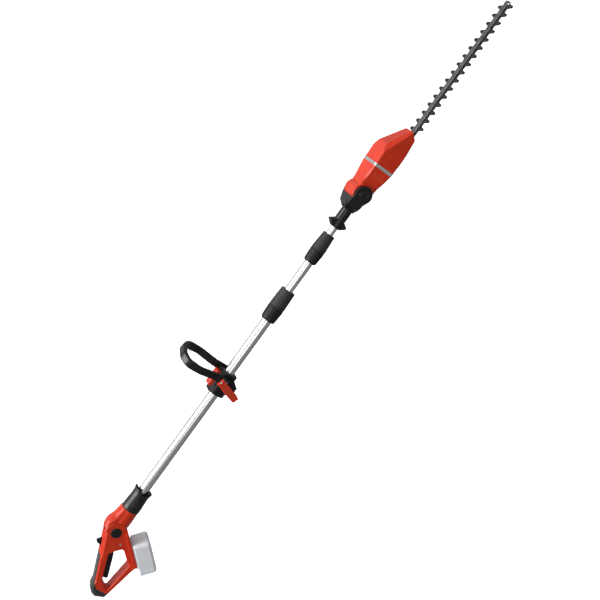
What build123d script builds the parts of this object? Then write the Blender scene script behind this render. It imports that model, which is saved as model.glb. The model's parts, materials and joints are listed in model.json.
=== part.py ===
from build123d import *
import math
import os

# Pole hedge trimmer, in millimetres.
# Frame: +X runs along the pole from the rear handle to the blade, +Z is the side of the
# loop handle, and -Y is the near side. The origin is on the pole's axis, at the front of
# the neck's collar.

os.makedirs("parts", exist_ok=True)

FIT = 0.08        # radial clearance of round parts that slide or turn on each other
GAP = 0.4         # clearance between parts that pass each other

# Telescoping tubes: outer and bore radii, and where each one starts and ends
LOWER_R, LOWER_BORE, LOWER_START, LOWER_END = 15.0, 13.5, -90, 672
MIDDLE_R, MIDDLE_BORE, MIDDLE_START, MIDDLE_END = 12.75, 11.5, 300, 872
UPPER_R, UPPER_BORE, UPPER_START, UPPER_END = 10.8, 9.5, 504, 1000
GUIDE_LENGTH = 32

# Twist locks: rear end, split between body and nut, front end
LOWER_LOCK = (618, 664, 721)
UPPER_LOCK = (820, 862, 915.5)
SPIGOT_LENGTH = 24

# Rear handle
HANDLE_X, HANDLE_Z = -140, 0      # axis of the handle's tilt joint
KNUCKLE_R = 33.5                  # round end of the handle, about that axis
DRUM_R = 28                       # inner drum that carries the neck on the pivot pin
DRUM_HALF = 14
GRIP_HALF, BODY_HALF = 20, 22     # half widths of the handle's grip and of its body
GRIP_REAR = (-303, -33)
HEEL_BACK = [(-322, -35.5), (-338, -45), (-348, -60), (-338, -92)]
MOUNT_TIP = (-207, -119)
TRIGGER_PIVOT = (-207, -23)
GRIP_SLOPE = 23.1                 # degrees between the grip's back and the pole
BACK_FLAT = 13                    # half width of the grip's back between its bevels
BUTTON_R = 15.6
PIN_R = 6

# Battery: length along its rails, width and height
BATTERY_L, BATTERY_W, BATTERY_H = 108, 74, 51
BATTERY_START = -14
CELL_R, CELL_L = 9, 63

# Neck
NECK_R = 26
COLLAR_REAR = -64

# Loop handle
CLAMP_REAR, CLAMP_FRONT = 361, 433
CLAMP_HALF = 27
LINER_R = 17
LOOP_X, LOOP_SKEW = 420, 15
BAND_W, BAND_T = 22, 12
LEVER_W, LEVER_L = 22, 72
LEVER_X, LEVER_Y, LEVER_Z = 406, -46.5, 22
LEVER_LEAN = 18.7

# Roll joint and tilt joint of the head
SLEEVE_REAR, SLEEVE_FRONT = 940, 966
STEM_R, STEM_BORE, STEM_END = 16.5, 14.08, 1004
TILT_X, TILT_Z = 1059, 4.5
HUB_R, HUB_HALF = 30, 34.9
ARM_R, ARM_IN, ARM_OUT = 25.2, 35.4, 46
YOKE_BUTTON_R = 14
SHAFT_R = 7

# Head
HOUSING_REAR, BAND_REAR, BAND_FRONT, NOSE_X = 1062, 1142, 1150.5, 1276
WALL = 3
# Cross-sections at their X: half width, half width of the top face, and the heights of the top
# face, of its outer edges, of the side's lower edge and of the bottom
HOUSING = [
    (1062, (33.9, 29, 29.4, 25, -18, -22.5)),
    (1091, (33.9, 30.5, 29.8, 25.5, -20, -25)),
    (1119, (42, 38, 31.2, 27.5, -23.5, -28.5)),
    (1142, (44.7, 41.6, 32.6, 29.4, -26, -31)),
]
BAND = [(1130, (44.7, 41.6, 32.8, 29.6, -26, -31)), (1160, (44.7, 41.6, 32.8, 29.6, -26, -31))]
COVER = [
    (1150.5, (44.7, 41.6, 32.8, 29.6, -27, -31.5)),
    (1190, (44, 40.5, 34.6, 31.2, -29, -33)),
    (1209, (43, 29, 34, 21, -29, -33)),
    (1276, (27.5, 21, -9, -14, -29, -33)),
]
MOTOR_R, MOTOR_Z = 18.5, 2
CRANK_X = 1192
GEAR_TEETH, PINION_TEETH = 36, 9
GEAR_PITCH_R, PINION_PITCH_R = 24, 6
CRANK_THROW, CRANK_DISC_R = 6, 6

# Blades
BLADE_T = 2.5
UPPER_BLADE_Z, LOWER_BLADE_Z = -26.6, -29.4     # lower faces of the two blades
BLADE_REAR, BLADE_TIP, GUIDE_TIP = 1168, 1698, 1708
BAR_HALF, TOOTH_TIP = 13.5, 35
TOOTH_COUNT, TOOTH_PITCH = 16, 26.7
FAR_TOOTH_X, NEAR_TOOTH_X = 1286, 1295.5
BOLT_X = [1252, 1338, 1424, 1510, 1596, 1682]
BOLT_R = 2.6
STROKE = 6                                       # blade travel each way from rest


# ---- small helpers -----------------------------------------------------------------------

def block(x0, x1, y0, y1, z0, z1):
    """Box between two corners."""
    return Pos((x0 + x1) / 2, (y0 + y1) / 2, (z0 + z1) / 2) * Box(x1 - x0, y1 - y0, z1 - z0)


def rod_x(r, x0, x1, y=0, z=0):
    """Cylinder along X."""
    return Pos((x0 + x1) / 2, y, z) * Rot(0, 90, 0) * Cylinder(r, x1 - x0)


def rod_y(r, y0, y1, x, z):
    """Cylinder along Y."""
    return Pos(x, (y0 + y1) / 2, z) * Rot(90, 0, 0) * Cylinder(r, y1 - y0)


def rod_z(r, z0, z1, x, y=0):
    """Cylinder along Z."""
    return Pos(x, y, (z0 + z1) / 2) * Cylinder(r, z1 - z0)


def outline(points, radius):
    """Flat face inside straight runs whose corners are rounded."""
    return make_face(FilletPolyline(*points, radius=radius, close=True))


def polygon(*points):
    """Flat face inside straight runs with sharp corners."""
    return make_face(Polyline(*points, close=True))


def side_plate(face, y0, y1):
    """Face drawn in X and Z, as thick as the two Y values."""
    return extrude(Plane.XZ.offset(-y1) * face, y1 - y0, dir=(0, -1, 0))


def plan_plate(face, z0, z1):
    """Face drawn in X and Y, as thick as the two Z values."""
    return extrude(Plane.XY.offset(z0) * face, z1 - z0, dir=(0, 0, 1))


def turned(points):
    """Solid of revolution about the pole's axis, from points of X and radius."""
    return revolve(make_face(Polyline(*points, close=True)), Axis.X)


def tube_x(r_out, r_in, x0, x1):
    return turned([(x0, r_in), (x0, r_out), (x1, r_out), (x1, r_in)])


def near_half(solid):
    return solid & block(-500, 1800, -200, 0, -300, 300)


def far_half(solid):
    return solid & block(-500, 1800, 0, 200, -300, 300)


def around_x(count, first=0):
    """Even angles about X, in degrees."""
    return [first + 360 * i / count for i in range(count)]


def group(pieces):
    """Separate solids that share one node."""
    return Compound(children=[s for p in pieces for s in p.solids()])


# ---- rear handle -------------------------------------------------------------------------

def tangent_point(from_point, turn):
    """Where a line from the point touches the knuckle's circle; turn is +1 above, -1 below."""
    dx, dz = HANDLE_X - from_point[0], HANDLE_Z - from_point[1]
    reach = math.hypot(dx, dz)
    line = math.atan2(dz, dx) + turn * math.asin(KNUCKLE_R / reach)
    radial = line + turn * math.pi / 2
    return (HANDLE_X + KNUCKLE_R * math.cos(radial), HANDLE_Z + KNUCKLE_R * math.sin(radial))


def handle_face():
    """Side outline of the D-handle, without its hand opening."""
    top, foot = tangent_point(GRIP_REAR, 1), tangent_point(MOUNT_TIP, -1)
    corners = [top, GRIP_REAR, *HEEL_BACK, MOUNT_TIP, foot]
    return outline(corners, [0, 10, 14, 14, 14, 8, 3, 0]) + Pos(HANDLE_X, HANDLE_Z) * Circle(KNUCKLE_R)


def hand_opening_face():
    corners = [(-292, -54), (-208, -21), (-192, -33), (-176, -50), (-201, -78), (-215, -97), (-316, -86)]
    return outline(corners, [5, 8, 10, 8, 10, 4, 5])


def pad_zone():
    """Side region of the soft pad: the grip's back and the handle's rear end."""
    front = [(-219, 30), (-222, -2.2), (-309, -39.5), (-322, -53), (-324, -86), (-326, -130)]
    return polygon(*front, (-370, -130), (-370, 30))


def mount_plane():
    """X down the battery's rails, Y to the far side and Z away from the handle."""
    foot = tangent_point(MOUNT_TIP, -1)
    slope = math.atan2(foot[1] - MOUNT_TIP[1], foot[0] - MOUNT_TIP[0])
    middle = ((foot[0] + MOUNT_TIP[0]) / 2, 0, (foot[1] + MOUNT_TIP[1]) / 2)
    return Plane(
        origin=middle,
        x_dir=(-math.cos(slope), 0, -math.sin(slope)),
        z_dir=(math.sin(slope), 0, -math.cos(slope)),
    )


def on_mount(s0, s1, y0, y1, n0, n1):
    """Box in the mount's own directions, where Y keeps its sign."""
    box = Pos((s0 + s1) / 2, (y0 + y1) / 2, (n0 + n1) / 2) * Box(s1 - s0, y1 - y0, n1 - n0)
    return mount_plane() * box


def handle_side(sign):
    """One half of the handle's outer form: a slim D-frame with a wider body at the front."""
    frame = handle_face() - hand_opening_face()
    body_zone = polygon((-206, 60), (-232, -20), (-204, -60), (-234, -140), (-60, -140), (-60, 60))
    frame_half = extrude(Plane.XZ * frame, GRIP_HALF, dir=(0, sign, 0))
    body_half = extrude(Plane.XZ * (frame & body_zone), BODY_HALF, dir=(0, sign, 0))
    outer = frame_half.faces().sort_by(Axis.Y)[-1 if sign > 0 else 0]
    frame_half = fillet(outer.edges(), 4.5)
    outer = body_half.faces().sort_by(Axis.Y)[-1 if sign > 0 else 0]
    body_half = fillet(outer.edges(), 5)
    side = frame_half + body_half
    back = [tangent_point(GRIP_REAR, 1), GRIP_REAR, *HEEL_BACK[:3]]
    for start, end in zip(back, back[1:]):
        side = side - back_bevel(start, end, sign)
    return side


def back_bevel(start, end, sign):
    """Half-space block that bevels one edge of the grip's back between two points."""
    length = math.dist(start, end) + 2.4
    along = math.degrees(math.atan2(start[1] - end[1], start[0] - end[0]))
    cutter = Pos(0, sign * (BACK_FLAT + 10.6), 10.6) * Rot(-45 * sign, 0, 0) * Box(length, 60, 30)
    middle = Pos((start[0] + end[0]) / 2, 0, (start[1] + end[1]) / 2)
    return middle * Rot(0, -along, 0) * cutter


def mount_foot():
    """Flared foot along the battery's rails."""
    foot = on_mount(-58, 64, -31, 31, -11, 0)
    return fillet(foot.edges().filter_by(Axis.Y, reverse=True).group_by(Axis.Y)[0] +
                  foot.edges().filter_by(Axis.Y, reverse=True).group_by(Axis.Y)[-1], 3)


def rail_channel():
    """T-slot that takes the battery's guide, open at its lower end."""
    return on_mount(-50, 90, -21.5, 21.5, -4, 1) + on_mount(-50, 90, -25.5, 25.5, -9.5, -3.9)


def neck_slot():
    """Room between the handle's cheeks for the neck's drum and tongue, over the whole tilt."""
    half = DRUM_HALF + GAP
    drum = rod_y(DRUM_R + GAP, -half, half, HANDLE_X, HANDLE_Z)
    reach = 60
    corners = [(HANDLE_X, HANDLE_Z)]
    for angle in (-44, 0, 45, 90, 112):
        turn = math.radians(angle)
        corners.append((HANDLE_X + reach * math.cos(turn), HANDLE_Z + reach * math.sin(turn)))
    return drum + side_plate(polygon(*corners), -half, half)


def trigger_slot():
    corners = [(-288.5, -76), (-288.5, -43.4), (-201, -10.8), (-194.8, -18), (-194.8, -42)]
    return side_plate(polygon(*corners), -9.6, 9.6)


def switch_pocket():
    return side_plate(polygon((-206, -14), (-206, 3), (-171, 18), (-171, -14)), -11, 11)


def lock_pocket():
    """Slot for the lock-off button in the handle's back, square to its slope."""
    return Pos(-190, 0, 14) * Rot(0, -GRIP_SLOPE, 0) * Box(24, 13, 24)


def board_pocket():
    return on_mount(-10, 46, -13, 13, -19.5, -9.4)


def handle_screw_places():
    """X, Z, side of the head and distance of the head's seat from the middle."""
    return [(-166, -32, -1, 18.4), (-306, -54, 1, 15), (-262, -100, 1, 15), (-219, -106, 1, 15)]


def screw_hole(x, z, side, seat):
    """Bore with a wider recess for the head, for a screw across the middle."""
    bore, recess = sorted((side * 40, -side * 12)), sorted((side * seat, side * 40))
    return rod_y(1.8, *bore, x, z) + rod_y(3.6, *recess, x, z)


def cross_screw(x, z, side, seat):
    """Screw with a round head and a driver recess."""
    shank, head = sorted((side * (seat + 0.1), -side * 11.5)), sorted((side * seat, side * (seat + 3)))
    driver = sorted((side * (seat + 1.6), side * (seat + 5)))
    return rod_y(1.75, *shank, x, z) + rod_y(3.2, *head, x, z) - rod_y(1.3, *driver, x, z)


def handle_form(sign):
    """One handle half with every pocket cut, before it is parted into shell and soft pad."""
    form = handle_side(sign) + mount_foot() - neck_slot() - rail_channel() - trigger_slot()
    form = form - switch_pocket() - lock_pocket() - board_pocket()
    form = form - rod_y(PIN_R, -18, 18, HANDLE_X, HANDLE_Z) - rod_y(1.5, -12.5, 12.5, *TRIGGER_PIVOT)
    face_y = sign * BODY_HALF
    inner_y = sign * (BODY_HALF - 4.6)
    recess = rod_y(BUTTON_R + GAP, min(face_y, inner_y) - 1.0 * (sign < 0),
                   max(face_y, inner_y) + 1.0 * (sign > 0), HANDLE_X, HANDLE_Z)
    form = form - recess
    for place in handle_screw_places():
        form = form - screw_hole(*place)
    return near_half(form) if sign < 0 else far_half(form)


def handle_pad(form):
    return form & side_plate(pad_zone(), -40, 40)


def handle_shell(form):
    return form - side_plate(pad_zone(), -40, 40)


def pivot_pin():
    return rod_y(PIN_R, -17.2, 17.2, HANDLE_X, HANDLE_Z)


def tilt_cap(sign):
    """Dished disc in the recess of one cheek: the near one is the push button."""
    out, back = sign * (BODY_HALF + 2.4), sign * (BODY_HALF - 1.6)
    disc = rod_y(BUTTON_R, min(out, back), max(out, back), HANDLE_X, HANDLE_Z)
    rim = disc.faces().sort_by(Axis.Y)[-1 if sign > 0 else 0].edges()
    disc = fillet(rim, 1.6)
    dish = Pos(HANDLE_X, sign * (BODY_HALF + 41), HANDLE_Z) * Sphere(40)
    return disc - dish


def trigger():
    """Long finger lever under the grip, hinged at its front end."""
    corners = [(-286, -52), (-208, -18), (-198, -22), (-199, -33), (-206, -38), (-284, -69)]
    lever = side_plate(outline(corners, [2, 3, 3, 3, 4, 5]), -9, 9)
    lower = lever.edges().filter_by(Axis.Y, reverse=True).group_by(Axis.Y)
    lever = fillet(lower[0] + lower[-1], 1.5)
    return lever - rod_y(1.5 + FIT, -12, 12, *TRIGGER_PIVOT)


def trigger_pin():
    return rod_y(1.5, -12.5, 12.5, *TRIGGER_PIVOT)


def trigger_spring():
    return Pos(-226, 0, -23.7) * Rot(0, -GRIP_SLOPE, 0) * (Cylinder(3, 3.4) - Cylinder(2.2, 6))


def lock_button():
    """Ribbed safety catch on the handle's back."""
    corners = [(-11, -5), (-11, 2), (-1, 15.5), (4, 16.5), (10.5, 4), (10.5, -5)]
    body = side_plate(outline(corners, [1, 2, 3, 3, 2, 1]), -5.9, 5.9)
    for step in range(3):
        body = body - Pos(-8 + 3.1 * step, 0, 6.2 + 4.1 * step) * Rot(0, -53, 0) * Box(0.9, 14, 1.2)
    return Pos(-190, 0, 12.5) * Rot(0, -GRIP_SLOPE, 0) * body


def switch_module():
    body = side_plate(polygon((-205.5, -12), (-205.5, -2), (-180, 1), (-172, 1), (-172, -12)), -9, 9)
    return body


def control_board():
    """Board over the rails, with its parts and the blade contacts that meet the battery."""
    board = on_mount(-8, 44, -12, 12, -14, -12.4)
    for part in (
        on_mount(0, 9, -8, 8, -17, -14),
        on_mount(18, 36, -5, 9, -18.6, -14),
        on_mount(-8, -4, -12, 12, -12.5, -9.6),
    ):
        board = board + part
    for y in (-10.5, -3.5, 3.5, 10.5):
        board = board + on_mount(-8, -4, y - 0.5, y + 0.5, -9.7, -4.8)
    return board


# ---- battery -----------------------------------------------------------------------------

def battery_block(grow, n0, n1):
    """Rounded box on the rails, grown or shrunk all round in plan."""
    half_l, half_w = BATTERY_L / 2 + grow, BATTERY_W / 2 + grow
    plan = RectangleRounded(2 * half_l, 2 * half_w, 11 + grow)
    return mount_plane() * Pos(BATTERY_START + BATTERY_L / 2, 0, n0) * extrude(plan, n1 - n0)


def battery_form():
    """Outer form: softened corners and a ledge along each side."""
    plan = RectangleRounded(BATTERY_L, BATTERY_W, 11)
    solid = extrude(plan, BATTERY_H)
    solid = fillet(solid.faces().sort_by(Axis.Z)[-1].edges(), 10)
    solid = fillet(solid.faces().sort_by(Axis.Z)[0].edges(), 3)
    return mount_plane() * Pos(BATTERY_START + BATTERY_L / 2, 0, 3) * solid


def battery_cover():
    """Upper half, with the T guide that runs in the handle's rails."""
    shell = battery_form() & on_mount(-60, 100, -60, 60, 0, 22)
    shell = shell - battery_block(-2.5, 6, 22.1)
    guide = on_mount(-13, 62, -21, 21, -4.5, 3.5) + on_mount(-13, 62, -25, 25, -9, -4.4)
    guide = guide - on_mount(-14, -3, -16, 16, -9.1, -3.9)
    return shell + guide - on_mount(65.6, 78.4, -14.4, 14.4, 2, 8.9)


def battery_case():
    shell = battery_form() & on_mount(-60, 100, -60, 60, 22.05, 60)
    shell = shell - battery_block(-3.4, 22, BATTERY_H - 3)
    for s in (-2, 8, 18, 58, 68, 78):
        groove = on_mount(s - 1.2, s + 1.2, -40, -BATTERY_W / 2 + 0.8, 28, 43)
        shell = shell - groove - on_mount(s - 1.2, s + 1.2, BATTERY_W / 2 - 0.8, 40, 28, 43)
    return shell


def battery_cells():
    cells = []
    for row in range(2):
        for place in range(5):
            s = BATTERY_START + 15.6 + place * (2 * CELL_R + 1.4)
            n = 18 + row * (2 * CELL_R + 0.6)
            cells.append(mount_plane() * Pos(s, 0, n) * Rot(90, 0, 0) * Cylinder(CELL_R, CELL_L))
    return group(cells)


def battery_latch():
    """Spring catch that presses into the pack."""
    latch = on_mount(66, 78, -14, 14, -1.5, 5.4)
    latch = chamfer(latch.edges().filter_by(Axis.Y).group_by(Axis.Z)[-1], 2)
    return latch


# ---- neck and tubes ----------------------------------------------------------------------

def neck_form():
    """Round neck with a hump over the knuckle, a hollow rear face and an inner drum."""
    side = [(COLLAR_REAR, 0), (COLLAR_REAR, NECK_R), (-98, NECK_R + 1), (-150, NECK_R - 1), (-150, 0)]
    barrel = turned(side)
    hump_points = [(-58, 0), (-58, 25.4), (-97, 31.5), (-108, 36.5), (-122, 40.5), (-175, 33), (-175, 0)]
    hump = side_plate(outline(hump_points, [0, 0, 30, 30, 30, 0, 0]), -22, 22)
    hump = fillet(hump.faces().sort_by(Axis.Y)[-1].edges() + hump.faces().sort_by(Axis.Y)[0].edges(), 12)
    hump = hump - block(COLLAR_REAR, 0, -60, 60, -60, 60)
    hump = hump - block(-200, -141, -60, 60, -60, 60)
    form = barrel + hump - rod_y(KNUCKLE_R + GAP + 0.4, -60, 60, HANDLE_X, HANDLE_Z)
    drum = rod_y(DRUM_R, -DRUM_HALF, DRUM_HALF, HANDLE_X, HANDLE_Z)
    tongue = side_plate(polygon((-140, -18), (-140, 24), (-98, 24), (-98, -18)), -DRUM_HALF, DRUM_HALF)
    form = form + drum + tongue - rod_y(PIN_R + FIT, -40, 40, HANDLE_X, HANDLE_Z)
    form = form - rod_x(LOWER_R, LOWER_START - 1, -20) - rod_x(8, -125, LOWER_START)
    for place in neck_screw_places():
        form = form - screw_hole(*place)
    return form


def neck_screw_places():
    return [(-74, 20.5, 1, 12.5), (-74, -20.5, 1, 12.5)]


def neck_collar():
    """Tapered sleeve on the tube, with a scalloped front rim."""
    rear = COLLAR_REAR + 0.2
    sleeve = turned([
        (rear, LOWER_R), (rear, 26), (rear + 2, 27), (-50, 27), (-16, 25.2), (-4, 25.6), (6, 28), (7, 27),
        (-3, 23.6), (-9, 22), (-9, LOWER_R),
    ])
    for angle in around_x(24):
        sleeve = sleeve - Rot(angle, 0, 0) * block(-46, -18, -0.6, 0.6, 25.3, 30)
    return sleeve - rod_y(24, -40, 40, 21.5, 0)


def glide_ring(r_tube, r_outer, x0):
    """Plastic glide pushed into a tube's inner end, with a raised rim that runs in the outer tube."""
    return turned([
        (x0 - 4, r_tube - 4), (x0 - 4, r_outer - FIT), (x0, r_outer - FIT), (x0, r_tube - 1.3),
        (x0 + GUIDE_LENGTH, r_tube - 1.3), (x0 + GUIDE_LENGTH, r_tube - 4),
    ])


def lock_body(places, tube_r, inner_r, spigot_r, rear_r, middle_r):
    """Fixed rear half of a twist lock: its spigot carries the nut and ends in clamping fingers."""
    x0, split, x1 = places
    end = split + SPIGOT_LENGTH
    body = turned([
        (x0, tube_r), (x0, rear_r - 2.5), (x0 + 4, rear_r), (split - 6, middle_r), (split, middle_r - 0.8),
        (split, spigot_r), (end, spigot_r), (x1 - 5, spigot_r - 2), (x1 - 5, inner_r + FIT),
        (end, inner_r + FIT), (end, tube_r),
    ])
    for angle in around_x(6, 30):
        body = body - Rot(angle, 0, 0) * block(end, x1, -0.8, 0.8, 0, spigot_r + 5)
    for angle in around_x(20):
        body = body - Rot(angle, 0, 0) * block(x0 + 7, split - 8, -0.7, 0.7, rear_r - 0.7, middle_r + 3)
    return body


def lock_nut(places, inner_r, spigot_r, middle_r, front_r):
    """Turning front half of a twist lock."""
    _, split, x1 = places
    rear = split + 0.6
    cavity = spigot_r + GAP
    nut = turned([
        (rear, cavity), (rear, middle_r - 0.8), (rear + 2, middle_r), (x1 - 5, front_r), (x1 - 1, front_r),
        (x1, front_r - 1), (x1, inner_r + GAP), (x1 - 4, inner_r + GAP), (x1 - 4, cavity),
    ])
    for angle in around_x(20):
        lean = math.degrees(math.atan((middle_r - front_r) / (x1 - 7 - rear)))
        cut = Rot(0, lean, 0) * Box(x1 - rear - 16, 1.4, 3)
        cut = Pos((rear + x1) / 2, 0, (middle_r + front_r) / 2 + 0.9) * cut
        nut = nut - Rot(angle, 0, 0) * cut
    return nut


# ---- loop handle -------------------------------------------------------------------------

def clamp_upper():
    """Upper half of the clamp round the tube."""
    end_face = outline(
        [(-CLAMP_HALF, 0.5), (-CLAMP_HALF, 15), (-17, 26.8), (17, 26.8), (CLAMP_HALF, 15), (CLAMP_HALF, 0.5)],
        [1, 5, 4, 4, 5, 1],
    )
    body = extrude(Plane.YZ.offset(CLAMP_REAR) * end_face, CLAMP_FRONT - CLAMP_REAR, dir=(1, 0, 0))
    for x, side, z in loop_screw_places():
        ends = sorted((side * 20.9, side * 45))
        body = body - rod_y(1.9, ends[0], ends[1], x, z)
    return body - rod_x(LINER_R + FIT, 300, 500) - rod_y(BOLT_R + 0.1, -60, 60, LEVER_X, LEVER_Z)


def clamp_lower():
    """Lower half of the clamp, with the rib behind the lever."""
    end_face = outline(
        [(-CLAMP_HALF, -0.5), (-24.5, -14), (-14, -24.5), (14, -24.5), (24.5, -14), (CLAMP_HALF, -0.5)],
        [1, 6, 6, 6, 6, 1],
    )
    body = extrude(Plane.YZ.offset(CLAMP_REAR) * end_face, CLAMP_FRONT - CLAMP_REAR, dir=(1, 0, 0))
    rib_points = [(376, -7), (428, -7), (424, -16), (411, -33), (398, -33), (380, -20)]
    rib_face = outline(rib_points, [2, 3, 3, 3, 3, 3])
    rib = side_plate(rib_face, -36, -12)
    return body + rib - rod_x(LINER_R + FIT, 300, 500)


def loop_liner():
    return tube_x(LINER_R, LOWER_R + FIT, CLAMP_REAR, CLAMP_FRONT)


def loop_saddle():
    """Rounded block on top of the clamp, between the loop's arms."""
    saddle = block(374, 426, -14.5, 14.5, 27, 40)
    saddle = fillet(saddle.edges().filter_by(Axis.X).group_by(Axis.Z)[-1], 6)
    saddle = fillet(saddle.edges().filter_by(Axis.Z), 5)
    for x in (382, 388, 394, 400, 406, 412, 418):
        saddle = saddle - block(x - 0.8, x + 0.8, -20, 20, 38.8, 45)
    return saddle


def loop_plane():
    skew = math.radians(LOOP_SKEW)
    return Plane(
        origin=(LOOP_X, 0, 0),
        x_dir=(math.sin(skew), math.cos(skew), 0),
        z_dir=(math.cos(skew), -math.sin(skew), 0),
    )


def loop_path():
    """Closed-top loop from the near foot to the far foot, in its own plane."""
    near = [(-33.5, -4), (-33.5, 40), (-50, 98), (-45, 137), (-20, 151)]
    far = [(-x, y) for x, y in reversed(near)]
    return loop_plane() * FilletPolyline(*near, *far, radius=[60, 60, 22, 30, 30, 22, 60, 60])


def band_along_loop(section):
    path = loop_path()
    start = Plane(origin=path @ 0, x_dir=loop_plane().x_dir, z_dir=path % 0)
    return sweep(start * section, path=path)


def loop_frame():
    """Ribbed band, with a foot on each side of the clamp and the lever's ears."""
    section = RectangleRounded(BAND_T, BAND_W, 3.5)
    for y in (-6, -2, 2, 6):
        section = section - Pos(-BAND_T / 2, y) * Rectangle(2.2, 1.6)
    frame = band_along_loop(section)
    pad = block(389, 423, -40, -34, 11, 33)
    frame = frame + pad
    for side in (-1, 1):
        frame = frame + lever_plane() * Pos(side * 13.2, 0, 0) * ear()
    frame = frame - lever_plane() * Rot(0, 90, 0) * Cylinder(2.0, 60)
    frame = frame - rod_y(BOLT_R + 0.1, -60, 60, LEVER_X, LEVER_Z)
    for x, side, z in loop_screw_places():
        ends = sorted((side * 20, side * 45))
        frame = frame - rod_y(1.9, ends[0], ends[1], x, z)
    return frame - block(340, 450, -CLAMP_HALF, CLAMP_HALF, -10, 30)


def ear():
    """One ear of the lever's fork, in the lever's own directions."""
    return Rot(0, 90, 0) * Cylinder(6, 3.2) + Pos(0, 0, -5) * Box(3.2, 12, 10)


def loop_grip():
    """Soft sleeve round the top of the loop."""
    outer = band_along_loop(RectangleRounded(BAND_T + 1.8, BAND_W + 1.8, 4.4))
    inner = band_along_loop(RectangleRounded(BAND_T, BAND_W, 3.5))
    return (outer - inner) & block(300, 540, -100, 100, 112, 200)


def loop_screw_places():
    return [(411.3, -1, 7), (428.7, 1, 7)]


def loop_screws():
    screws = []
    for x, side, z in loop_screw_places():
        ends = sorted((side * 21, side * 41))
        shank = rod_y(1.9, ends[0], ends[1], x, z)
        head = sorted((side * 40.9, side * 43.4))
        cap = rod_y(3.8, head[0], head[1], x, z)
        socket = sorted((side * 41.8, side * 46))
        screws.append(shank + cap - rod_y(1.8, socket[0], socket[1], x, z))
    return group(screws)


def clamp_bolt():
    """Cross bolt that the lever tightens, with an eye on the lever's pin and a nut on the far side."""
    shank = rod_y(BOLT_R, LEVER_Y + 3, 34, LEVER_X, LEVER_Z)
    eye = lever_plane() * Rot(0, 90, 0) * (Cylinder(4.4, 5) - Cylinder(2.0, 6))
    nut = Pos(LEVER_X, 29.6, LEVER_Z) * Rot(90, 0, 0) * extrude(RegularPolygon(5, 6), 2.5, both=True)
    return shank + eye + nut


def lever_plane():
    """X across the lever, Y up along it and Z away from the clamp."""
    lean = math.radians(LEVER_LEAN)
    return Plane(
        origin=(LEVER_X, LEVER_Y, LEVER_Z),
        x_dir=(math.cos(lean), 0, -math.sin(lean)),
        z_dir=(0, -1, 0),
    )


def loop_lever():
    """Ribbed quick-release lever."""
    corners = [(-11, 0), (-11, -60), (-9, -LEVER_L), (9, -LEVER_L), (11, -60), (11, 0)]
    face = outline(corners, [0, 6, 4, 4, 6, 0])
    plate_part = extrude(Plane.XY.offset(-2.5) * face, 8)
    edges = plate_part.faces().sort_by(Axis.Z)[-1].edges()
    plate_part = chamfer(edges, 1.5)
    for x in (-6.6, -2.2, 2.2, 6.6):
        plate_part = plate_part - Pos(x, -36, 5.5) * Box(1.6, 54, 2.4)
    barrel = Rot(0, 90, 0) * Cylinder(6, LEVER_W)
    lever = plate_part + barrel - Rot(0, 90, 0) * Cylinder(2.0 + FIT, 40)
    slot = Rot(0, 90, 0) * Cylinder(8, 5.8) - Pos(0, -10, 10) * Box(30, 20, 20)
    slot = slot + Rot(0, 90, 0) * Cylinder(4.8, 5.8)
    return lever_plane() * (lever - slot)


def lever_pin():
    return lever_plane() * Rot(0, 90, 0) * Cylinder(2.0, 29.6)


# ---- roll joint and yoke -----------------------------------------------------------------

def roll_hub():
    """Hub fixed on the upper tube's end, which the yoke's stem turns on, with a collar for the spring."""
    return turned([
        (944, UPPER_R), (944, 13.6), (946, 13.6), (946, 11.1), (SLEEVE_FRONT + 2, 11.1),
        (SLEEVE_FRONT + 2, STEM_BORE - FIT), (UPPER_END, STEM_BORE - FIT), (UPPER_END, UPPER_R),
    ])


def roll_spring():
    return tube_x(13.2, 11.4, 946, 961.5)


def roll_sleeve():
    """Release sleeve with two finger wings."""
    rear, front = SLEEVE_REAR, SLEEVE_FRONT - 0.4
    core = turned([(rear, 14), (rear, 15.6), (rear + 2, 16.6), (front, 16.6), (front, 12), (front, 11.2),
                   (front - 4, 11.2), (front - 4, 14)])
    flange = turned([(rear + 1, 14), (rear + 1, 17), (952, 30), (955, 30), (front - 1, 17), (front - 1, 14)])
    wings = flange & block(900, 1000, -13, 13, -40, 40)
    return core + wings


def yoke_plan():
    """Plan outline: a narrow stem that spreads into a fork."""
    half = [(SLEEVE_FRONT, -STEM_R), (1004, -STEM_R), (1014, -30), (1029, -38.5), (1044, -ARM_OUT), (1090, -ARM_OUT)]
    return polygon(*half, *[(x, -y) for x, y in reversed(half)])


def yoke_side():
    corners = [(1000, -15), (1016, -15), (1034, -14), (1059, -19), (1059, 28), (1036, 27.5), (1011, 25), (1000, 15)]
    return outline(corners, [0, 20, 12, 0, 0, 5, 6, 0]) + Pos(TILT_X, TILT_Z) * Circle(ARM_R)


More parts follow.
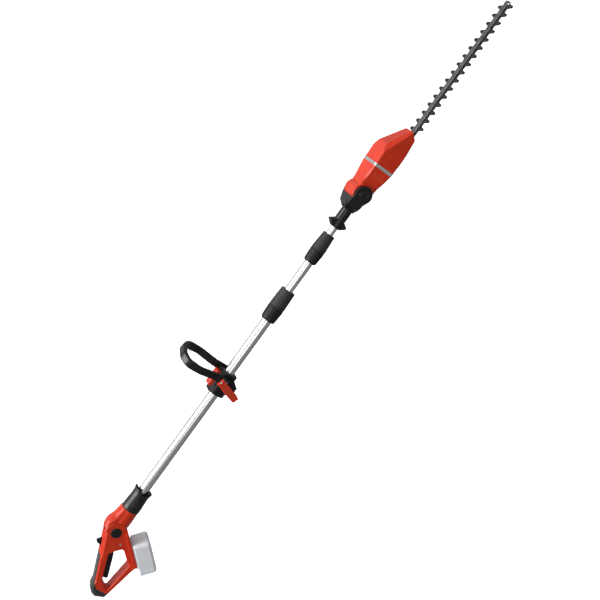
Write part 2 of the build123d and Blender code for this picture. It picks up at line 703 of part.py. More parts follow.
def yoke():
    """Fork that carries the head between two round cheeks, on a hollow stem."""
    fork = side_plate(yoke_side(), -ARM_OUT, ARM_OUT) & plan_plate(yoke_plan(), -60, 60)
    pocket = rod_y(HUB_R + 1.4, -ARM_IN, ARM_IN, TILT_X, TILT_Z)
    pocket = pocket + block(TILT_X, 1100, -ARM_IN, ARM_IN, -60, 60)
    stem = turned([(SLEEVE_FRONT + 0.2, STEM_BORE), (SLEEVE_FRONT + 0.2, 15.8), (SLEEVE_FRONT + 1.4, STEM_R),
                   (STEM_END, STEM_R), (STEM_END, 0), (UPPER_END + 1, 0), (UPPER_END + 1, STEM_BORE)])
    form = fork - rod_x(STEM_R - 1, 960, STEM_END - 1) + stem
    form = form - pocket - yoke_cover_zone()
    for side in (-1, 1):
        ends = sorted((side * (ARM_OUT - 4.8), side * (ARM_OUT + 5)))
        form = form - rod_y(YOKE_BUTTON_R + GAP, ends[0], ends[1], TILT_X, TILT_Z)
    return form - rod_y(SHAFT_R, -ARM_OUT + 5.2, ARM_OUT - 5.2, TILT_X, TILT_Z)


def yoke_cover_zone():
    """Recess in the top of the fork's base."""
    return block(1013, 1031, -24, 24, 22.5, 40)


def yoke_cover():
    """Ribbed plate on the fork's base."""
    cover = block(1013.2, 1030.8, -23.8, 23.8, 22.6, 27.6)
    cover = fillet(cover.faces().sort_by(Axis.Z)[-1].edges(), 1.5)
    for y in (-16, -8, 0, 8, 16):
        cover = cover - block(1016, 1028, y - 1, y + 1, 26.8, 30)
    return cover - rod_y(HUB_R + 1.4, -ARM_IN, ARM_IN, TILT_X, TILT_Z)


def tilt_shaft():
    return rod_y(SHAFT_R, -ARM_OUT + 6, ARM_OUT - 6, TILT_X, TILT_Z)


def tilt_button(side):
    """Round push button in one cheek of the fork."""
    ends = sorted((side * (ARM_OUT - 1.8), side * (ARM_OUT + 2.4)))
    disc = rod_y(YOKE_BUTTON_R, ends[0], ends[1], TILT_X, TILT_Z)
    disc = fillet(disc.faces().sort_by(Axis.Y)[-1 if side > 0 else 0].edges(), 1.4)
    groove_ends = sorted((side * (ARM_OUT + 1.4), side * (ARM_OUT + 5)))
    groove = rod_y(11, groove_ends[0], groove_ends[1], TILT_X, TILT_Z)
    groove = groove - rod_y(9.6, groove_ends[0] - 1, groove_ends[1] + 1, TILT_X, TILT_Z)
    return disc - groove


# ---- head --------------------------------------------------------------------------------

def head_section(x, shape, inset=0):
    """Eight-sided cross-section of the head at one X."""
    half, top_half, z_top, z_edge, z_low, z_bottom = shape
    half, top_half = half - inset, top_half - inset * 0.6
    z_top, z_edge, z_bottom = z_top - inset, z_edge - inset * 0.4, z_bottom + inset
    z_low = max(z_low, z_bottom + 1)
    right = [(top_half, z_top), (half, z_edge), (half, z_low), (half - 6, z_bottom)]
    left = [(-y, z) for y, z in reversed(right)]
    return Plane.YZ.offset(x) * polygon(*right, *left)


def section_between(stations, x, inset=0):
    """Section at any X, from the stations on both sides of it."""
    spans = list(zip(stations, stations[1:]))
    (x0, shape0), (x1, shape1) = next((span for span in spans if x <= span[1][0]), spans[-1])
    t = (x - x0) / (x1 - x0)
    return head_section(x, [p + (q - p) * t for p, q in zip(shape0, shape1)], inset)


def lofted(stations, start, end, inset=0):
    """Straight-sided solid through the stations between two X values."""
    inner = [x for x, _ in stations if start < x < end]
    places = [start, *inner, end]
    form = None
    for x0, x1 in zip(places, places[1:]):
        span = loft([section_between(stations, x0, inset), section_between(stations, x1, inset)], ruled=True)
        form = span if form is None else form + span
    return form


def motor_housing():
    """Rear half of the head: the hub between the fork's cheeks and the motor's space."""
    hub = rod_y(HUB_R, -HUB_HALF, HUB_HALF, TILT_X, TILT_Z)
    hub = chamfer(hub.edges().filter_by(GeomType.CIRCLE), 2)
    form = hub + lofted(HOUSING, HOUSING_REAR, BAND_REAR)
    form = form - lofted(HOUSING, 1084, BAND_REAR + 0.1, WALL)
    form = form - rod_y(SHAFT_R + FIT, -60, 60, TILT_X, TILT_Z)
    for cut in side_vents() + top_vents():
        form = form - cut
    for place in head_screw_places():
        form = form - screw_hole(*place)
    return form


def side_vents():
    """Short air grooves in both flanks, one above the other."""
    vents = []
    for step in range(4):
        for side in (-1, 1):
            groove = Rot(0, 0, 9 * side) * Box(11.5, 3.4, 3)
            vents.append(Pos(1122 - 1.2 * step, side * 42.3, 16.8 - 10.2 * step) * groove)
    return vents


def top_vents():
    """Shallow grooves across the hub's top."""
    vents = []
    for angle in (56, 70, 100):
        turn = math.radians(angle)
        x = TILT_X + (HUB_R + 0.6) * math.cos(turn)
        z = TILT_Z + (HUB_R + 0.6) * math.sin(turn)
        vents.append(Pos(x, 0, z) * Rot(0, 90 - angle, 0) * Box(2.4, 46, 5))
    return vents


def head_screw_places():
    return [(1079, -16, 1, 26), (1079, 24, 1, 26), (1134, -21, 1, 30)]


def trim_band():
    """Cast motor plate between the two housings, whose bright rim shows as a band."""
    plate_part = lofted(BAND, BAND_REAR + 0.1, BAND_FRONT - 0.1, -0.6)
    plate_part = plate_part - lofted(BAND, BAND_REAR - 1, BAND_FRONT - 3, WALL)
    plate_part = plate_part - rod_x(6.3, 1100, 1200, z=MOTOR_Z)
    for y in (-12.5, 12.5):
        plate_part = plate_part - rod_x(1.8, 1100, 1200, y=y, z=MOTOR_Z)
    return plate_part


def gear_cover():
    """Front housing over the gears, with a slot in its nose for the blades."""
    form = lofted(COVER, BAND_FRONT, NOSE_X) - lofted(COVER, BAND_FRONT - 0.1, NOSE_X - 26, WALL)
    form = form - side_plate(polygon((1277, -9), (1300, -9), (1300, -45), (1247, -45)), -60, 60)
    form = form - plan_plate(polygon(*base_plan(36, 1252)), -40, -26)
    return form - block(1236, 1290, -18, 18, -40, -18) - block(BAND_FRONT + 0.5, 1237, -22, 22, -40, -18)


def base_plan(half, front):
    """Plan outline of the underside's opening, which narrows towards the nose."""
    near = [(1151.2, -half), (1205, -half), (front, -half + (front - 1205) * 0.23)]
    return near + [(x, -y) for x, y in reversed(near)]


def gear_base():
    """Plate that closes the underside of the gear cover."""
    plate_part = plan_plate(polygon(*base_plan(35.6, 1244)), -33, -30.3)
    return chamfer(plate_part.faces().sort_by(Axis.Z)[0].edges(), 0.8)


def gear_plate():
    """Cast plate that carries the crank's bearing and the guide bar."""
    corners = [(1152, -32), (1228, -32), (1238, -20), (1238, 20), (1228, 32), (1152, 32)]
    plan = outline(corners, [3, 6, 4, 4, 6, 3])
    plate_part = plan_plate(plan, -20, -13.5)
    plate_part = plate_part - rod_z(9, -21, -13, CRANK_X)
    for y in (-26, 26):
        plate_part = plate_part + rod_z(4, -30.2, -19.9, 1160, y)
    return plate_part


def crank_bearing():
    return rod_z(8.98, -19.8, -14, CRANK_X) - rod_z(4 + FIT, -21, -13, CRANK_X)


def crown_gear():
    """Face gear: a disc with radial teeth on its upper face."""
    disc = rod_z(28, -12, -5.4, CRANK_X)
    disc = disc - rod_z(18, -7.4, -5, CRANK_X) - rod_z(4, -13, -4, CRANK_X)
    pitch = 2 * math.pi * GEAR_PITCH_R / GEAR_TEETH
    foot, tip = 0.26 * pitch, 0.12 * pitch
    tooth_face = polygon((-foot, -5.5), (-tip, -2.8), (tip, -2.8), (foot, -5.5))
    tooth = extrude(Plane.YZ.offset(20.5) * tooth_face, 7, dir=(1, 0, 0))
    for step in range(GEAR_TEETH):
        angle = 360 * (step + 0.5) / GEAR_TEETH
        disc = disc + Pos(CRANK_X, 0, 0) * Rot(0, 0, angle) * tooth
    return disc


def crank_shaft():
    """Vertical shaft with one eccentric for each blade."""
    shaft = rod_z(4, -29.2, -5.6, CRANK_X)
    upper = rod_z(CRANK_DISC_R, UPPER_BLADE_Z + 0.1, UPPER_BLADE_Z + 2.4, CRANK_X, CRANK_THROW)
    lower = rod_z(CRANK_DISC_R, LOWER_BLADE_Z + 0.1, LOWER_BLADE_Z + 2.4, CRANK_X, -CRANK_THROW)
    return shaft + upper + lower + rod_z(5.5, -13.4, -12.1, CRANK_X)


def motor():
    """Can motor with its front boss and brush cap."""
    can = turned([
        (1086, 0), (1086, 12), (1088, 16.5), (1094, MOTOR_R), (1138, MOTOR_R), (1140.5, 17), (1140.5, 6.2),
        (1146, 6.2), (1146, 0),
    ])
    can = Pos(0, 0, MOTOR_Z) * can - rod_x(1.7, 1120, 1150, z=MOTOR_Z)
    for angle in (0, 180):
        can = can - Pos(0, 0, MOTOR_Z) * Rot(angle, 0, 0) * block(1100, 1118, -5, 5, MOTOR_R - 0.8, 20)
    return can


def motor_pinion():
    """Motor shaft with the pinion that drives the crown gear."""
    root_r, tip_r = PINION_PITCH_R - 1.3, PINION_PITCH_R + 0.9
    pitch = 2 * math.pi * PINION_PITCH_R / PINION_TEETH
    shaft = rod_x(1.62, 1121, 1176) + rod_x(root_r, 1161, 1175)
    tooth_face = polygon((-0.27 * pitch, root_r - 0.4), (-0.12 * pitch, tip_r), (0.12 * pitch, tip_r),
                         (0.27 * pitch, root_r - 0.4))
    tooth = extrude(Plane.YZ.offset(1163) * tooth_face, 10, dir=(1, 0, 0))
    for angle in around_x(PINION_TEETH, 180):
        shaft = shaft + Rot(angle, 0, 0) * tooth
    return Pos(0, 0, MOTOR_Z) * shaft


# ---- blades ------------------------------------------------------------------------------

def tooth_outline(x, side):
    """One leaning blade tooth with a narrow, rounded tip, from the bar's edge outwards."""
    root, mid, tip = side * BAR_HALF, side * 26, side * TOOTH_TIP
    corners = [(x - 8.4, root), (x - 5.2, mid), (x - 3.4, tip), (x + 3.4, tip), (x + 4.9, mid), (x + 6.6, root)]
    return outline(corners, [0, 8, 2.2, 2.2, 8, 0])


def blade_faces():
    """Plan outlines of a blade's welded pieces: a frame round the crank, the slotted bar and the teeth."""
    half = CRANK_THROW + CRANK_DISC_R + STROKE + 0.6
    rear, front, window = CRANK_X - half, CRANK_X + half, 12.5
    faces = [
        polygon((BLADE_REAR, -19), (rear, -19), (rear, 19), (BLADE_REAR, 19)),
        polygon((rear, window), (front, window), (front, 19), (rear, 19)),
        polygon((rear, -19), (front, -19), (front, -window), (rear, -window)),
        polygon((front, -19), (1240, -BAR_HALF), (1240, BAR_HALF), (front, 19)),
    ]
    bar = polygon((1240, -BAR_HALF), (BLADE_TIP, -BAR_HALF), (BLADE_TIP, BAR_HALF), (1240, BAR_HALF))
    for x in BOLT_X:
        bar = bar - Pos(x, 0) * SlotOverall(2 * (BOLT_R + STROKE + 0.6), 2 * BOLT_R + 0.6)
    faces.append(bar)
    for step in range(TOOTH_COUNT):
        faces.append(tooth_outline(FAR_TOOTH_X + step * TOOTH_PITCH, 1))
        faces.append(tooth_outline(NEAR_TOOTH_X + step * TOOTH_PITCH, -1))
    return faces


def blade(z0):
    return group([plan_plate(face, z0, z0 + BLADE_T) for face in blade_faces()])


def guide_bar():
    """Stiffening bar over the blades, with a raised rib and a blunt tip."""
    bar = block(1212, GUIDE_TIP - 4, -10, 10, -23.7, -21.2)
    bar = chamfer(bar.faces().sort_by(Axis.Z)[-1].edges().filter_by(Axis.X), 1.2)
    rib_face = outline([(-3.2, -21.5), (-2.4, -18.6), (2.4, -18.6), (3.2, -21.5)], [0, 1.5, 1.5, 0])
    bar = bar + extrude(Plane.YZ.offset(1242) * rib_face, 455, dir=(1, 0, 0))
    tip_face = outline([(1705, -12), (GUIDE_TIP, -8), (GUIDE_TIP, 8), (1705, 12)], [1, 2, 2, 1])
    tip = plan_plate(tip_face, -29.6, -21.2)
    bar = bar + tip + block(1699, 1706, -10, 10, -23.7, -21.2)
    for x in BOLT_X:
        bar = bar - rod_z(BOLT_R, -24, -20.5, x)
    return bar


def blade_bolts():
    """Bolts with wide heads under the lower blade."""
    bolts = []
    for x in BOLT_X:
        head = rod_z(5.4, -32.3, LOWER_BLADE_Z - 0.4, x)
        head = chamfer(head.edges().filter_by(GeomType.CIRCLE).sort_by(Axis.Z)[0], 0.8)
        socket = Pos(x, 0, -32.4) * extrude(RegularPolygon(2, 6), 1.4)
        bolts.append(head - socket + rod_z(BOLT_R, LOWER_BLADE_Z - 0.5, -20.5, x))
    return group(bolts)


# ---- assembly ----------------------------------------------------------------------------

def rear_handle_parts():
    near, far = handle_form(-1), handle_form(1)
    pad = handle_pad(near) + handle_pad(far)
    return {
        "rear_shell_near": handle_shell(near),
        "rear_shell_far": handle_shell(far),
        "rear_grip_pad": pad,
        "rear_fasteners": group([cross_screw(*place) for place in handle_screw_places()] + [trigger_pin()]),
        "rear_pivot_pin": pivot_pin(),
        "rear_tilt_button": tilt_cap(-1),
        "rear_pivot_cap": tilt_cap(1),
        "trigger": trigger(),
        "trigger_spring": trigger_spring(),
        "lock_off_button": lock_button(),
        "switch_module": switch_module(),
        "control_board": control_board(),
    }


def battery_parts():
    return {
        "battery_cover": battery_cover(),
        "battery_case": battery_case(),
        "battery_cells": battery_cells(),
        "battery_latch": battery_latch(),
    }


def pole_parts():
    neck = neck_form()
    return {
        "neck_shell_near": near_half(neck),
        "neck_shell_far": far_half(neck),
        "neck_screws": group([cross_screw(*place) for place in neck_screw_places()]),
        "neck_collar": neck_collar(),
        "lower_tube": tube_x(LOWER_R, LOWER_BORE, LOWER_START, LOWER_END),
        "middle_tube": tube_x(MIDDLE_R, MIDDLE_BORE, MIDDLE_START, MIDDLE_END),
        "upper_tube": tube_x(UPPER_R, UPPER_BORE, UPPER_START, UPPER_END),
        "middle_glide": glide_ring(MIDDLE_R, LOWER_BORE, MIDDLE_START),
        "upper_glide": glide_ring(UPPER_R, MIDDLE_BORE, UPPER_START),
        "lower_lock_body": lock_body(LOWER_LOCK, LOWER_R, MIDDLE_R, 19, 22, 24),
        "lower_lock_nut": lock_nut(LOWER_LOCK, MIDDLE_R, 19, 24, 22),
        "upper_lock_body": lock_body(UPPER_LOCK, MIDDLE_R, UPPER_R, 15.6, 19.5, 21.5),
        "upper_lock_nut": lock_nut(UPPER_LOCK, UPPER_R, 15.6, 21.5, 18.4),
    }


def loop_handle_parts():
    return {
        "loop_liner": loop_liner(),
        "clamp_upper": clamp_upper(),
        "clamp_lower": clamp_lower(),
        "loop_saddle": loop_saddle(),
        "loop_frame": loop_frame(),
        "loop_grip": loop_grip(),
        "loop_fasteners": group([loop_screws(), clamp_bolt(), lever_pin()]),
        "loop_lever": loop_lever(),
    }


def head_parts():
    housing = motor_housing()
    return {
        "roll_hub": roll_hub(),
        "roll_spring": roll_spring(),
        "roll_sleeve": roll_sleeve(),
        "yoke": yoke(),
        "yoke_cover": yoke_cover(),
        "tilt_shaft": tilt_shaft(),
        "tilt_button_near": tilt_button(-1),
        "tilt_button_far": tilt_button(1),
        "motor_shell_near": near_half(housing),
        "motor_shell_far": far_half(housing),
        "head_screws": group([cross_screw(*place) for place in head_screw_places()]),
        "trim_band": trim_band(),
        "motor": motor(),
        "motor_pinion": motor_pinion(),
    }


def blade_parts():
    return {
        "gear_cover": gear_cover(),
        "gear_base": gear_base(),
        "gear_plate": gear_plate(),
        "crank_bearing": crank_bearing(),
        "crown_gear": crown_gear() + crank_shaft(),
        "upper_blade": blade(UPPER_BLADE_Z),
        "lower_blade": blade(LOWER_BLADE_Z),
        "guide_bar": guide_bar(),
        "blade_bolts": blade_bolts(),
    }


for make_parts in (rear_handle_parts, battery_parts, pole_parts, loop_handle_parts, head_parts, blade_parts):
    for node, shape in make_parts().items():
        export_step(shape, f"parts/{node}.step")
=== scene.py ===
import json
import math

import bpy
from mathutils import Matrix, Vector


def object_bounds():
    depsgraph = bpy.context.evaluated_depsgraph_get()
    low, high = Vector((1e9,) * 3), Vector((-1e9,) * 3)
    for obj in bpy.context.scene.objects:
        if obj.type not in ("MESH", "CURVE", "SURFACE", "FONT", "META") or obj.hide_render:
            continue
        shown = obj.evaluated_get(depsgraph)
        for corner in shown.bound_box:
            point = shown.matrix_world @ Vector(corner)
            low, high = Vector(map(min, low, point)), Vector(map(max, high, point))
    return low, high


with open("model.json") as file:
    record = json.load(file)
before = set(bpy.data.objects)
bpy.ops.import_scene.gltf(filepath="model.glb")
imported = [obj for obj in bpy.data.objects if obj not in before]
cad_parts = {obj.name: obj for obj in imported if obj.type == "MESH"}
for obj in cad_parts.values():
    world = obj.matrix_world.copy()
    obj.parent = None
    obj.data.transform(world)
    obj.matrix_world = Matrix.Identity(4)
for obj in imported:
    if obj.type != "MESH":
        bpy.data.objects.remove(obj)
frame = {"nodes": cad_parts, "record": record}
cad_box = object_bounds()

# Looks of the pole hedge trimmer, in metres: +X along the pole to the blade, +Z to the loop
# handle, -Y the near side. Every visible piece is a CAD node with its own material.

nodes = frame["nodes"]
middle = (cad_box[0] + cad_box[1]) / 2

FLOOR_DROP = 0.3         # gap between the object and the floor under it
FLOOR_HALF = 60
WALL_DROP = 0.31         # the wall starts just under the floor
WALL_RADIUS = 55
WALL_HEIGHT = 60
WALL_SIDES = 96
SENSOR_WIDTH = 36        # millimetres, as Blender's lens is
VIEW_DEPTH = 100         # as far as the camera sees


# ---- material nodes ----------------------------------------------------------------------

def new_material(name, **settings):
    """Material whose shader sockets hold the given constants."""
    mat = bpy.data.materials.new(name)
    mat.use_nodes = True
    for socket, value in settings.items():
        shader_of(mat).inputs[socket.replace("_", " ")].default_value = value
    return mat


def shader_of(mat):
    return mat.node_tree.nodes["Principled BSDF"]


def feed(mat, socket, value):
    """Links the input to a value that is a socket, and sets it to any other value."""
    if isinstance(value, bpy.types.NodeSocket):
        mat.node_tree.links.new(value, socket)
    else:
        socket.default_value = value


def add(mat, kind, inputs=None, **properties):
    """New node with its inputs fed and its properties set."""
    node = mat.node_tree.nodes.new(kind)
    for name, value in properties.items():
        setattr(node, name, value)
    for name, value in (inputs or {}).items():
        feed(mat, node.inputs[name], value)
    return node


def place(mat, stretch=(1, 1, 1)):
    """Position on the object in metres, times a factor along each axis."""
    at = add(mat, "ShaderNodeTexCoord").outputs["Object"]
    return add(mat, "ShaderNodeMapping", {"Vector": at, "Scale": stretch}).outputs["Vector"]


def noise(mat, scale, detail=3.0, rough=0.5, stretch=(1, 1, 1)):
    """Noise from 0 to 1, with about that many patches in a metre."""
    inputs = {
        "Vector": place(mat, stretch), "Scale": scale, "Detail": detail, "Roughness": rough,
    }
    return add(mat, "ShaderNodeTexNoise", inputs).outputs["Fac"]


def remap(mat, value, low=0.3, high=0.7, to_low=0, to_high=1):
    """Value's range stretched to another, and held at its ends."""
    inputs = {
        "Value": value, "From Min": low, "From Max": high, "To Min": to_low, "To Max": to_high,
    }
    return add(mat, "ShaderNodeMapRange", inputs, clamp=True).outputs["Result"]


def mix(mat, share, first, second):
    """Colour between two, by a share from 0 to 1."""
    factor, colour_a, colour_b, colour_out = 0, 6, 7, 2   # the node's sockets, by index
    node = add(mat, "ShaderNodeMix", data_type="RGBA")
    feed(mat, node.inputs[factor], share)
    for index, value in ((colour_a, first), (colour_b, second)):
        feed(mat, node.inputs[index], (*value, 1) if isinstance(value, tuple) else value)
    return node.outputs[colour_out]


def maths(mat, operation, first, second):
    node = add(mat, "ShaderNodeMath", operation=operation)
    feed(mat, node.inputs[0], first)
    feed(mat, node.inputs[1], second)
    return node.outputs[0]


def rounded(mat, radius):
    """Normal that rounds edges by a radius."""
    return add(mat, "ShaderNodeBevel", {"Radius": radius}, samples=4).outputs["Normal"]


def edges(mat, radius, low=0.02, high=0.25):
    """1 along sharp edges within the radius, and 0 on the faces beside them: where painted
    highlights go.
    """
    sharp = add(mat, "ShaderNodeNewGeometry").outputs["Normal"]
    dot = add(mat, "ShaderNodeVectorMath", operation="DOT_PRODUCT")
    feed(mat, dot.inputs[0], rounded(mat, radius))
    feed(mat, dot.inputs[1], sharp)
    return remap(mat, maths(mat, "SUBTRACT", 1.0, dot.outputs["Value"]), low, high)


def finish_surface(mat, colour, rough, height, depth, edge_radius=0.0004):
    """Links colour, roughness and a bump of that depth, with edges rounded by a radius."""
    shader = shader_of(mat)
    bump = {
        "Height": height, "Distance": depth, "Strength": 1.0, "Normal": rounded(mat, edge_radius),
    }
    feed(mat, shader.inputs["Base Color"], colour)
    feed(mat, shader.inputs["Roughness"], rough)
    feed(mat, shader.inputs["Normal"], add(mat, "ShaderNodeBump", bump).outputs["Normal"])
    return mat


# ---- materials: a base colour, the colour of its patches or lines, and the painted highlight on its edges ---

def gloss_plastic(name, base, patch, edge_highlight, coat=0.2):
    """Moulded plastic with faint flow marks, fine scuffs and a painted highlight along its edges.
    """
    mat = new_material(name, Coat_Weight=coat, Coat_Roughness=0.12, Specular_IOR_Level=0.3)
    flow = remap(mat, noise(mat, 22, 3, 0.6), 0.35, 0.65)
    speck = remap(mat, noise(mat, 2600, 2), 0.62, 0.75, 0, 0.1)
    colour = mix(mat, flow, base, patch)
    colour = mix(mat, speck, colour, patch)
    # Painted highlight: the lighter edge colour is mixed in along every edge
    colour = mix(mat, edges(mat, 0.0011), colour, edge_highlight)
    scuff = noise(mat, 260, 6, 0.65, (1, 2.4, 1))
    rough = remap(mat, scuff, 0.3, 0.75, 0.24, 0.42)
    return finish_surface(mat, colour, rough, noise(mat, 1500, 2), 0.00003)


def grained_plastic(name, base, patch, edge_highlight):
    """Plastic with a spark-eroded grain."""
    mat = new_material(name, Specular_IOR_Level=0.3)
    flow = remap(mat, noise(mat, 30, 4, 0.6), 0.35, 0.65)
    colour = mix(mat, flow, base, patch)
    # Painted highlight: the lighter edge colour is mixed in along every edge
    colour = mix(mat, edges(mat, 0.0012), colour, edge_highlight)
    rough = remap(mat, noise(mat, 420, 5), to_low=0.4, to_high=0.6)
    return finish_surface(mat, colour, rough, noise(mat, 1900, 3, 0.6), 0.00008)


def soft_rubber(name, base, patch, edge_highlight):
    """Overmoulded grip with a pebbled skin."""
    mat = new_material(name, Sheen_Weight=0.25, Sheen_Roughness=0.5, IOR=1.45)
    pebbles = add(mat, "ShaderNodeTexVoronoi", {"Vector": place(mat), "Scale": 900.0})
    colour = mix(mat, remap(mat, noise(mat, 40, 4)), base, patch)
    # Painted highlight: the lighter edge colour is mixed in along every edge
    colour = mix(mat, edges(mat, 0.0014), colour, edge_highlight)
    rough = remap(mat, noise(mat, 300, 3), to_low=0.5, to_high=0.72)
    return finish_surface(mat, colour, rough, pebbles.outputs["Distance"], 0.00014, 0.0008)


def drawn_aluminium(name, base, line, mark):
    """Tube drawn along the pole: fine lines along X, with faint handling marks."""
    mat = new_material(name, Metallic=1.0, Anisotropic=0.4)
    lines = noise(mat, 30, 5, 0.7, (1, 60, 60))
    marks = noise(mat, 14, 5, 0.6)
    colour = mix(mat, remap(mat, lines), base, line)
    colour = mix(mat, remap(mat, marks, 0.55, 0.75, 0, 0.35), colour, mark)
    worn = maths(mat, "ADD", lines, maths(mat, "MULTIPLY", marks, 0.4))
    rough = remap(mat, worn, 0.4, 0.9, 0.13, 0.27)
    return finish_surface(mat, colour, rough, lines, 0.00001)


def cast_metal(name, base, patch, rough, grain=900):
    """Cast, turned or stamped metal, whose roughness varies between two values."""
    mat = new_material(name, Metallic=1.0)
    colour = mix(mat, remap(mat, noise(mat, 60, 5, 0.6)), base, patch)
    # Painted highlight: near white mixed in along every edge
    colour = mix(mat, edges(mat, 0.0008), colour, (0.9, 0.9, 0.9))
    varied = remap(mat, noise(mat, 500, 4), to_low=rough[0], to_high=rough[1])
    return finish_surface(mat, colour, varied, noise(mat, grain, 4, 0.6), 0.00006)


def blade_steel(name, base, line, ground):
    """Blackened steel with ground edges of bare steel, and a painted highlight along every edge.
    """
    mat = new_material(name, Metallic=0.85)
    lines = noise(mat, 90, 5, 0.7, (14, 1, 1))
    colour = mix(mat, remap(mat, lines), base, line)
    # Ground edge colour along every edge: bare ground steel and a painted highlight
    colour = mix(mat, edges(mat, 0.0009, 0.01, 0.2), colour, ground)
    rough = remap(mat, noise(mat, 200, 5, 0.6, (1, 6, 1)), to_low=0.3, to_high=0.5)
    return finish_surface(mat, colour, rough, lines, 0.00003)


def pale_case(name, base, patch, edge_highlight):
    """Pale, slightly milky plastic of the battery's case."""
    mat = new_material(
        name, Subsurface_Weight=0.15, Subsurface_Scale=0.004, IOR=1.48, Coat_Weight=0.2)
    colour = mix(mat, remap(mat, noise(mat, 45, 4, 0.6)), base, patch)
    # Painted highlight: the lighter edge colour is mixed in along every edge
    colour = mix(mat, edges(mat, 0.0012), colour, edge_highlight)
    rough = remap(mat, noise(mat, 300, 5), to_low=0.32, to_high=0.5)
    return finish_surface(mat, colour, rough, noise(mat, 1700, 3), 0.00005)


# ---- looks -------------------------------------------------------------------------------

# Each plastic's edge colour is a painted highlight along its edges
looks = {
    "red_plastic": gloss_plastic(
        "red_moulding", base=(0.62, 0.030, 0.002), patch=(0.54, 0.022, 0.002),
        edge_highlight=(0.90, 0.19, 0.09)),
    "black_plastic": grained_plastic(
        "black_moulding", base=(0.003, 0.003, 0.0035), patch=(0.006, 0.006, 0.007),
        edge_highlight=(0.05, 0.05, 0.055)),
    "grey_plastic": grained_plastic(
        "grey_moulding", base=(0.016, 0.017, 0.019), patch=(0.024, 0.025, 0.027),
        edge_highlight=(0.11, 0.11, 0.12)),
    "soft_grip": soft_rubber(
        "pebbled_grip", base=(0.009, 0.009, 0.010), patch=(0.017, 0.017, 0.019),
        edge_highlight=(0.06, 0.06, 0.065)),
    "pale_plastic": pale_case(
        "pale_moulding", base=(0.78, 0.80, 0.84), patch=(0.84, 0.86, 0.90),
        edge_highlight=(0.92, 0.93, 0.95)),
    "tube_aluminium": drawn_aluminium(
        "drawn_aluminium", base=(0.68, 0.69, 0.71), line=(0.80, 0.81, 0.82),
        mark=(0.58, 0.59, 0.61)),
    "silver_cast": cast_metal(
        "satin_silver", base=(0.80, 0.81, 0.82), patch=(0.70, 0.71, 0.72), rough=(0.22, 0.36)),
    "cast_alloy": cast_metal(
        "cast_alloy", base=(0.55, 0.56, 0.57), patch=(0.45, 0.46, 0.47), rough=(0.4, 0.6),
        grain=500),
    "blade_steel": blade_steel(
        "blackened_steel", base=(0.016, 0.016, 0.018), line=(0.045, 0.045, 0.048),
        ground=(0.26, 0.26, 0.28)),
    "bright_steel": cast_metal(
        "bright_steel", base=(0.62, 0.62, 0.63), patch=(0.52, 0.52, 0.53), rough=(0.22, 0.36)),
    "screw_steel": cast_metal(
        "screw_steel", base=(0.66, 0.66, 0.68), patch=(0.50, 0.50, 0.52), rough=(0.2, 0.34)),
    "spring_steel": cast_metal(
        "spring_steel", base=(0.5, 0.5, 0.52), patch=(0.4, 0.4, 0.42), rough=(0.25, 0.4)),
    "white_nylon": grained_plastic(
        "white_nylon", base=(0.30, 0.30, 0.30), patch=(0.24, 0.24, 0.24),
        edge_highlight=(0.4, 0.4, 0.4)),
    "board_green": grained_plastic(
        "board_green", base=(0.02, 0.20, 0.08), patch=(0.03, 0.26, 0.12),
        edge_highlight=(0.3, 0.5, 0.3)),
    "cell_wrap": gloss_plastic(
        "cell_wrap", base=(0.05, 0.16, 0.4), patch=(0.04, 0.12, 0.32),
        edge_highlight=(0.3, 0.4, 0.6)),
    "bearing_bronze": cast_metal(
        "bearing_bronze", base=(0.55, 0.36, 0.16), patch=(0.45, 0.29, 0.13), rough=(0.3, 0.5)),
}

# Nodes whose finish differs from the rest of their slot
gloss_black = gloss_plastic(
    "gloss_black", base=(0.006, 0.006, 0.007), patch=(0.003, 0.003, 0.004),
    edge_highlight=(0.06, 0.06, 0.065), coat=0.25)
own_looks = dict.fromkeys(
    ("neck_collar", "loop_grip", "rear_tilt_button", "rear_pivot_cap", "tilt_button_near",
     "tilt_button_far", "roll_sleeve", "yoke"), gloss_black)
own_looks["guide_bar"] = cast_metal(
    "ground_bar", base=(0.20, 0.20, 0.21), patch=(0.13, 0.13, 0.14), rough=(0.28, 0.42))

for row in frame["record"]["subparts"]:
    slots = nodes[row["node"]].data.materials
    slots.clear()
    slots.append(own_looks.get(row["node"], looks[row["material_slot"]]))


# ---- floor, light and camera -------------------------------------------------------------

def scene_object(name, data):
    thing = bpy.data.objects.new(name, data)
    bpy.context.scene.collection.objects.link(thing)
    return thing


def staged_mesh(name, points, faces, drop, mat):
    """Stage piece that starts under the object's middle, and lights nothing on the object."""
    mesh = bpy.data.meshes.new(name)
    mesh.from_pydata(points, [], faces)
    mesh.materials.append(mat)
    piece = scene_object(name, mesh)
    piece.location = (middle.x, middle.y, cad_box[0].z - drop)
    piece.visible_glossy = False
    piece.visible_diffuse = False
    return piece


def stage_floor():
    """Pale floor under the object."""
    mat = new_material("floor_paint", Roughness=0.9)
    tone = remap(mat, noise(mat, 3, 4))
    colour = mix(mat, tone, (0.93, 0.93, 0.935), (0.945, 0.945, 0.95))
    feed(mat, shader_of(mat).inputs["Base Color"], colour)
    half = FLOOR_HALF
    corners = [(-half, -half, 0), (half, -half, 0), (half, half, 0), (-half, half, 0)]
    staged_mesh("floor", corners, [(0, 1, 2, 3)], FLOOR_DROP, mat)


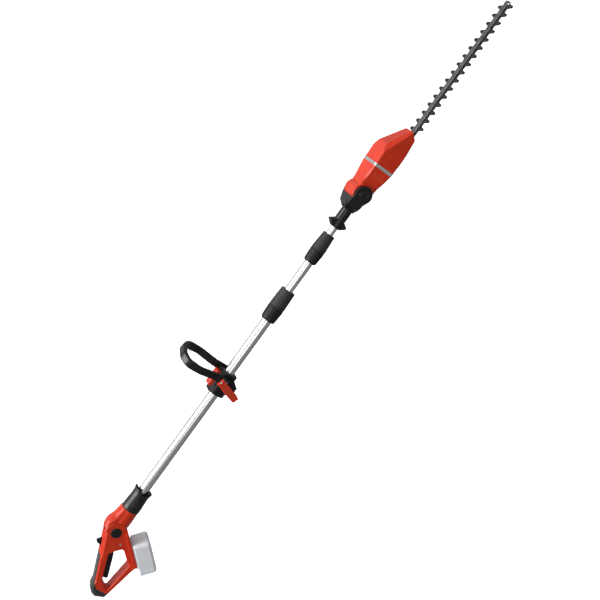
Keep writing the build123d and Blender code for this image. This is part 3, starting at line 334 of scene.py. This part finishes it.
def stage_backdrop():
    """Pale round wall far behind the object, seen from the sides and the back."""
    mat = new_material(
        "backdrop_paint", Roughness=0.9, Base_Color=(0.9, 0.9, 0.905, 1),
        Emission_Color=(1, 1, 1, 1), Emission_Strength=0.55)
    points = [
        (WALL_RADIUS * math.cos(math.tau * i / WALL_SIDES),
         WALL_RADIUS * math.sin(math.tau * i / WALL_SIDES), z)
        for z in (0, WALL_HEIGHT) for i in range(WALL_SIDES)
    ]
    faces = []
    for i in range(WALL_SIDES):
        after = (i + 1) % WALL_SIDES
        faces.append((i, after, WALL_SIDES + after, WALL_SIDES + i))
    wall = staged_mesh("backdrop", points, faces, WALL_DROP, mat)
    wall.visible_shadow = False


def surround():
    """Soft studio surround: bright above, a dark line at the horizon and grey below."""
    world = bpy.data.worlds.new("studio")
    world.use_nodes = True
    bpy.context.scene.world = world
    at = add(world, "ShaderNodeTexCoord").outputs["Generated"]
    height = add(world, "ShaderNodeSeparateXYZ", {"Vector": at}).outputs["Z"]
    share = remap(world, height, -1, 1)
    ramp = add(world, "ShaderNodeValToRGB", {"Fac": share})
    # Brightness at shares of the way from straight down to straight up
    steps = [
        (0.0, 0.30), (0.35, 0.42), (0.47, 0.30), (0.49, 0.05), (0.52, 0.06), (0.56, 0.65),
        (1.0, 1.0),
    ]
    stops = ramp.color_ramp.elements
    while len(stops) < len(steps):
        stops.new(0.5)
    for stop, (where, level) in zip(stops, steps):
        stop.position = where
        stop.color = (level, level, level, 1)
    background = world.node_tree.nodes["Background"]
    feed(world, background.inputs["Color"], ramp.outputs["Color"])
    feed(world, background.inputs["Strength"], 0.72)


def soft_light(name, kind, where, aim, strength, spread):
    """Broad disk of that size or sun of that angle at a place, turned to its aim."""
    data = bpy.data.lights.new(name, kind)
    data.energy = strength
    if kind == "AREA":
        data.shape, data.size = "DISK", spread
    else:
        data.angle = spread
    lamp = scene_object(name, data)
    lamp.location = where
    lamp.rotation_euler = (Vector(aim) - Vector(where)).to_track_quat("-Z", "Y").to_euler()


def aim_camera(azimuth, elevation, pole_angle, distance, lens, target):
    """Camera round the target, rolled so that the pole rises across the view at its angle."""
    a, e = math.radians(azimuth), math.radians(elevation)
    forward = Vector((-math.sin(a) * math.cos(e), math.cos(a) * math.cos(e), -math.sin(e)))
    level = Vector((math.cos(a), math.sin(a), 0))
    above = level.cross(forward)
    roll = math.radians(pole_angle) - math.atan2(above.x, level.x)
    right = level * math.cos(roll) - above * math.sin(roll)
    up = level * math.sin(roll) + above * math.cos(roll)
    data = bpy.data.cameras.new("camera")
    data.lens, data.sensor_width = lens, SENSOR_WIDTH
    data.clip_end = VIEW_DEPTH
    camera = scene_object("camera", data)
    turn = Matrix((right, up, -forward)).transposed().to_4x4()
    camera.matrix_world = Matrix.Translation(target - forward * distance) @ turn
    bpy.context.scene.camera = camera


stage_floor()
stage_backdrop()
surround()
soft_light(
    "key", "SUN", where=(middle.x - 1.0, -0.2, 2.6), aim=(middle.x, 0, 0), strength=3.4,
    spread=0.8)
soft_light(
    "fill", "AREA", where=(middle.x - 0.4, -2.6, 0.8), aim=(middle.x, 0, 0), strength=10,
    spread=1.6)
aim_camera(
    azimuth=8, elevation=25, pole_angle=53.95, distance=3.2, lens=68.16,
    target=Vector((0.716, 0, -0.046)))

bpy.context.scene.view_settings.view_transform = "Standard"
